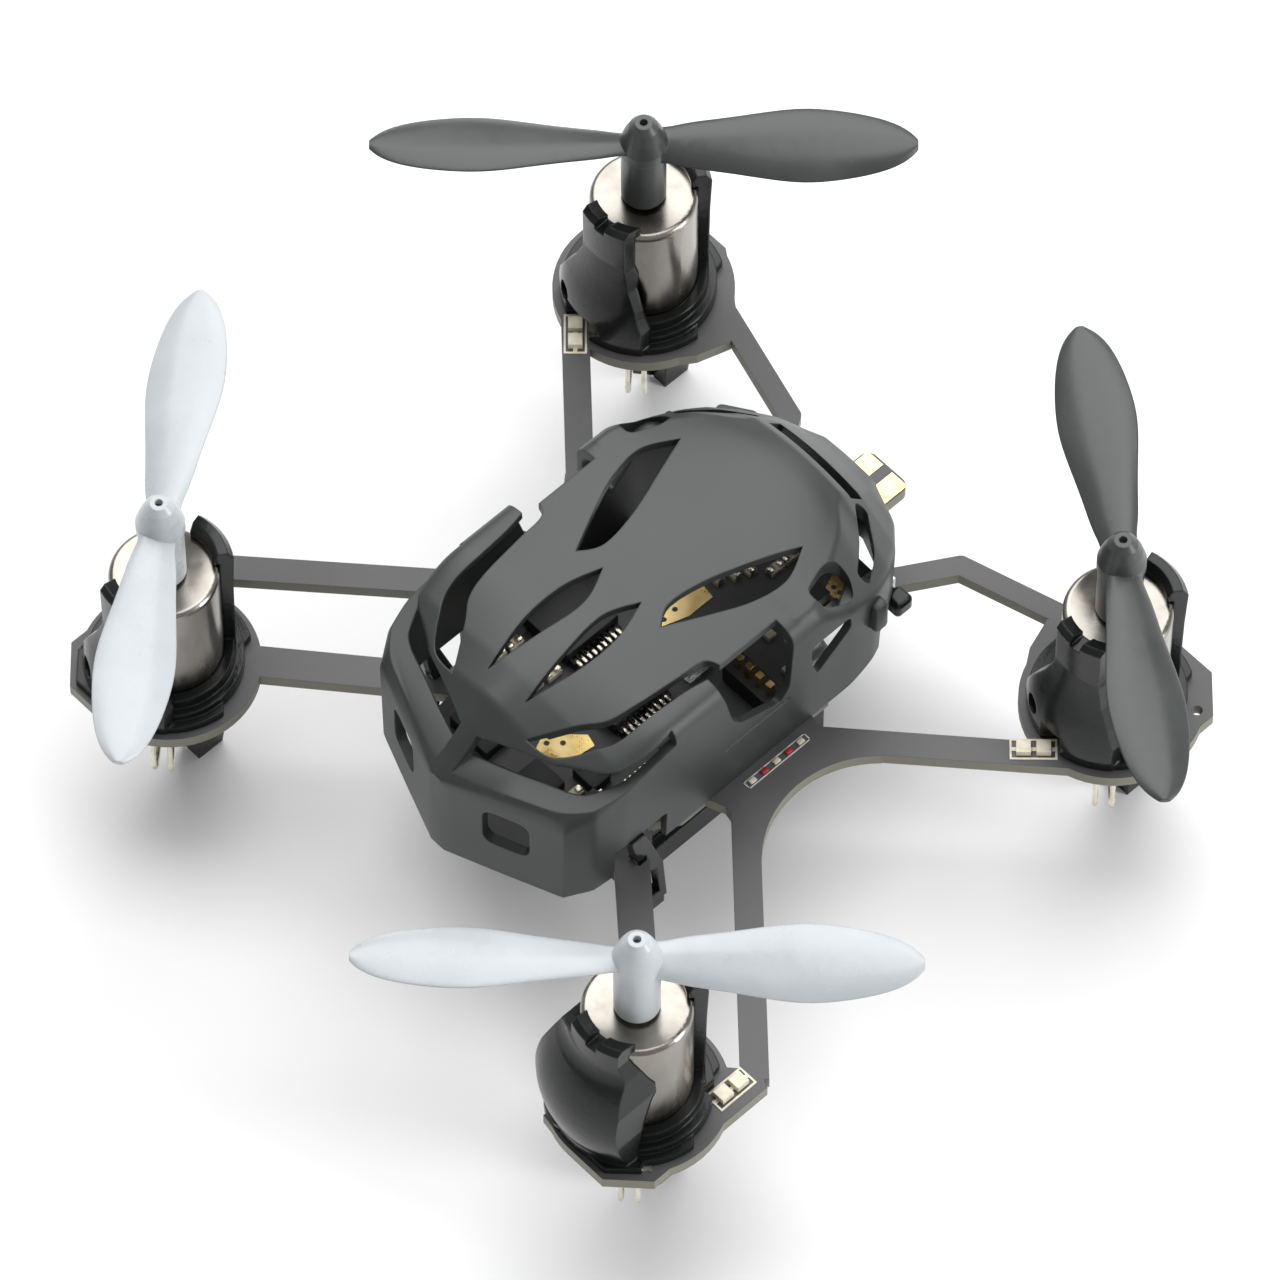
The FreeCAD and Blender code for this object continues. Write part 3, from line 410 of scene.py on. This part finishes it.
def canopy_cutters():
    rear_leaf = leaf([(3.3, -1.65), (2.55, -0.3), (2.9, 2.2), (3.9, 5.2), (4.75, 7.5)],
                     [(4.75, 7.5), (5.75, 5.4), (5.5, 3.2), (4.6, 1.0), (3.3, -1.65)])
    centre_leaf = leaf([(1.45, -9.9), (0.95, -6.9), (0.62, -3.6), (1.5, -1.35)],
                       [(1.5, -1.35), (2.2, -3.7), (2.2, -6.5), (1.45, -9.9)])
    outer_leaf = leaf([(2.85, -11.1), (4.6, -10.75), (6.1, -8.95), (6.7, -7.6), (6.85, -5.2), (7.05, -2.9),
                       (7.5, -0.75)],
                      [(7.5, -0.75), (6.35, -1.3), (6.1, -3.2), (5.8, -5.8), (5.4, -7.5), (4.4, -8.8),
                       (2.85, -11.1)])
    slit = [(0.6, -17), (10, -17), (10, -5.4), (6.9, -5.4), (6.6, -8.2), (5.4, -9.6), (0.6, -10.8)]
    window = [(-1.4, 2.8), (1.4, 2.8), (1.4, 6.0), (-1.4, 6.0)]
    turn = math.radians(19.4)
    window = rounded_outline(window, 0.8)
    nose_window = prism_mesh(
        window,
        lambda p: (4.0 + p[0] * math.cos(turn) + 3 * math.sin(turn),
                   -13.7 + p[0] * math.sin(turn) - 3 * math.cos(turn), BOARD_TOP + p[1]),
        lambda p: (4.0 + p[0] * math.cos(turn) - 3 * math.sin(turn),
                   -13.7 + p[0] * math.sin(turn) + 3 * math.cos(turn), BOARD_TOP + p[1]))
    side_window = rounded_outline([(-2.0, 13), (-1.9, 10.2), (-1.1, 6.9), (-0.4, 5.9),
                                   (2.5, 4.6), (3.2, 5.5), (3.3, 11.3), (2.4, 13)], 0.35)
    rear_window = rounded_outline([(4.7, 7.8), (7.6, 7.9), (7.75, 6.7), (5.3, 4.5), (4.8, 6.1)], 0.35)
    half = [
        upright(rear_leaf, 8.0, 13),
        upright(centre_leaf, 8.0, 13),
        upright(outer_leaf, 7.0, 13),
        upright(rounded_outline([(6.9, 5.7), (6.2, 7.6), (6.35, 8.5), (7.2, 8.75), (8.05, 8.2),
                                 (8.1, 5.8)], 0.5), 8.3, 13),
        upright(rounded_outline([(3.7, 12.4), (4.2, 12.9), (6.4, 11.4), (7.7, 9.7), (7.1, 9.3),
                                 (5.7, 10.9)], 0.4), 5.4, 10),
        sideways(side_window, 7.05, 9.5),
        sideways(rear_window, 6.4, 9.5),
        sideways(rounded_outline([(-9.6, -1), (-9.6, 2.6), (-5.8, 2.6), (-5.8, -1)], 0.25), 5.5, 9.5),
        sideways([(-1.6, 4.15), (3.2, 4.15), (3.2, 4.4), (-1.6, 4.4)], 8.2, 9.5),
        nose_window,
        prism_mesh(slit, lambda p: (p[0], p[1], BOARD_TOP + 7.2 + (p[1] + 16) * 0.21),
                   lambda p: (p[0], p[1], BOARD_TOP + 8.5 + (p[1] + 16) * 0.190)),
    ]
    cutters = []
    for piece in half:
        cutters += [piece, mirrored(*piece)]
    cutters.append(upright([(3.0, 10.9), (9.0, 10.9), (9.0, 14.35), (3.0, 14.35)], -1, 1.6))
    cutters.append(upright([(-2.8, 12.25), (3.6, 12.25), (3.6, 13.1), (-2.8, 13.1)], 6.4, 12))
    return cutters


def canopy():
    """The vented canopy: a thin shell with rounded edges, opened by its vents and windows."""
    shell = canopy_volume("canopy_detailed", 0.0, 0.0)
    tools = [canopy_volume("hollow", WALL, 2.0)]
    for i, (verts, faces) in enumerate(canopy_cutters()):
        tools.append(new_piece("cutter_%d" % i, verts, faces, None))
    for solid in [shell] + tools:
        normals = bmesh.new()
        normals.from_mesh(solid.data)
        bmesh.ops.recalc_face_normals(normals, faces=normals.faces)
        normals.to_mesh(solid.data)
        normals.free()
    for tool in tools:
        cut = shell.modifiers.new("cut", "BOOLEAN")
        cut.operation = "DIFFERENCE"
        cut.solver = "MANIFOLD"
        cut.object = tool
    finished(shell, 30)
    for tool in tools:
        bpy.data.objects.remove(tool)
    shell.data.materials.clear()
    shell.data.materials.append(FINISHES["canopy_black"])
    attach(shell, "airframe")
    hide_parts("canopy_shell")


def canopy_bosses():
    """Small rounded bosses on the rear flanks and at the right of the rear rim."""
    for name, side in (("left", 1), ("right", -1)):
        low, high = sorted((side * 7.7, side * 8.65))
        boxes("flank_boss_" + name, [(low, high, 9.4, 10.4, 4.2, 6.6)], "canopy_black", edge_mm=0.3)
    turn = math.radians(33)
    corners = [(-1.2, -0.5), (1.2, -0.5), (1.2, 0.5), (-1.2, 0.5)]
    outline = [(-6.0 + x * math.cos(turn) - y * math.sin(turn),
                12.9 + x * math.sin(turn) + y * math.cos(turn)) for x, y in corners]
    verts, faces = upright(rounded_outline(outline, 0.4), 4.6, 6.2)
    rear = new_piece("rear_boss", verts, faces, "canopy_black")
    bevel = rear.modifiers.new("edges", "BEVEL")
    bevel.width = 0.15 * MM
    bevel.segments = 2
    bevel.limit_method = "ANGLE"
    finished(rear)


canopy()
canopy_bosses()


# ------------------------------------------------------------------ parts on the board

def pin_row(x0, x1, y0, y1, count, height):
    """Blocks for the bright tinned feet of one side of a chip."""
    pitch = (y1 - y0) / (count - 1)
    return [(x0, x1, y0 + i * pitch - 0.11, y0 + i * pitch + 0.11, 0.02, height) for i in range(count)]


boxes("chip_feet", pin_row(-7.45, -6.75, -1.9, 1.1, 9, 0.5) + pin_row(-3.25, -2.6, -1.9, 1.1, 9, 0.5)
      + pin_row(1.65, 2.3, -3.0, 0.1, 9, 0.5) + pin_row(4.2, 4.9, -5.2, -2.9, 7, 0.5),
      "solder_tin", edge_mm=0.03)


def tinned_ends(centres):
    """The two bright ends of small parts whose middles are at these places."""
    blocks = []
    for x, y, along_y in centres:
        for end in (-0.33, 0.33):
            cx, cy = (x, y + end) if along_y else (x + end, y)
            blocks.append((cx - 0.19, cx + 0.19, cy - 0.19, cy + 0.19, 0.0, 0.52))
    return blocks


boxes("tinned_ends", tinned_ends([
    (-6.4, -4.7, True), (-6.3, -3.5, True), (-3.6, -4.6, True), (-3.5, -3.3, True), (-4.4, 2.2, True),
    (2.9, -5.0, True), (-1.9, 7.4, False), (-1.45, 8.3, False), (-1.1, 9.1, False), (0.0, 10.2, True),
    (0.0, 11.3, True), (-4.4, -10.5, True), (-0.9, -10.2, False), (2.6, -9.2, True), (2.9, -7.7, True),
    (0.3, -10.1, False), (1.5, -9.8, False), (3.6, -8.5, True), (3.9, -7.0, True),
]), "solder_tin", edge_mm=0.05)
boxes("small_chips", [
    (0.0, 2.2, -9.4, -7.7, 0, 0.7), (1.9, 3.6, -6.9, -5.6, 0, 0.7), (-4.0, -2.0, -9.6, -7.6, 0, 0.7),
], "chip_epoxy", edge_mm=0.06)


def printed_frame(x0, x1, y0, y1, line):
    """A thin printed rectangle on the board."""
    return [(x0, x1, y0, y0 + line, 0, 0.02), (x0, x1, y1 - line, y1, 0, 0.02),
            (x0, x0 + line, y0, y1, 0, 0.02), (x1 - line, x1, y0, y1, 0, 0.02)]


boxes("printed_frame", printed_frame(8.58, 9.12, -0.5, 4.1, 0.07), "white_nylon", edge_mm=0)
boxes("side_pads_pale", [(8.7, 9.0, y, y + 0.45, 0, 0.12) for y in (-0.25, 1.55, 3.35)], "ivory_ceramic")
boxes("side_pads_red", [(8.7, 9.0, y, y + 0.45, 0, 0.12) for y in (0.65, 2.45)], "red_jacket")


# ------------------------------------------------------------------ studio

def camera():
    azimuth, elevation = math.radians(46.5), math.radians(58.37)
    target = Vector((4.40, -4.21, 24.2)) * MM
    away = Vector((
        math.sin(azimuth) * math.cos(elevation),
        -math.cos(azimuth) * math.cos(elevation),
        math.sin(elevation),
    ))
    data = bpy.data.cameras.new("camera")
    data.sensor_width = 36
    data.lens = 300.8
    data.clip_start = 0.05
    data.clip_end = 20
    obj = bpy.data.objects.new("camera", data)
    bpy.context.scene.collection.objects.link(obj)
    obj.location = target + away * 567.37 * MM
    obj.rotation_euler = away.to_track_quat("Z", "Y").to_euler()
    bpy.context.scene.camera = obj


def floor():
    mesh = bpy.data.meshes.new("floor")
    half = 3.0
    corners = [(-half, -half, 0), (half, -half, 0), (half, half, 0), (-half, half, 0)]
    mesh.from_pydata(corners, [], [(0, 1, 2, 3)])
    obj = bpy.data.objects.new("floor", mesh)
    bpy.context.scene.collection.objects.link(obj)
    mat = surface("pale_floor", (0.88, 0.88, 0.88), (0.91, 0.91, 0.91), (0.75, 0.85), cloud_mm=80,
                  grain_mm=2.0, bump_mm=0.01)
    mesh.materials.append(mat)


def area_light(name, place, size, power, colour=(1, 1, 1)):
    data = bpy.data.lights.new(name, "AREA")
    data.shape = "RECTANGLE"
    data.size, data.size_y = size
    data.energy = power
    data.color = colour
    obj = bpy.data.objects.new(name, data)
    bpy.context.scene.collection.objects.link(obj)
    obj.location = place
    obj.rotation_euler = Vector(place).to_track_quat("Z", "Y").to_euler()


def studio():
    world = bpy.data.worlds.new("studio")
    world.use_nodes = True
    background = world.node_tree.nodes["Background"]
    background.inputs["Color"].default_value = (1, 1, 1, 1)
    background.inputs["Strength"].default_value = 0.44
    bpy.context.scene.world = world
    area_light("softbox", (-0.235, 0.223, 0.56), (0.70, 0.70), 5.4)
    area_light("side_strip", (0.45, 0.25, 0.22), (0.14, 0.45), 2.0)
    floor()
    camera()


studio()
bpy.context.scene.view_settings.view_transform = "Standard"
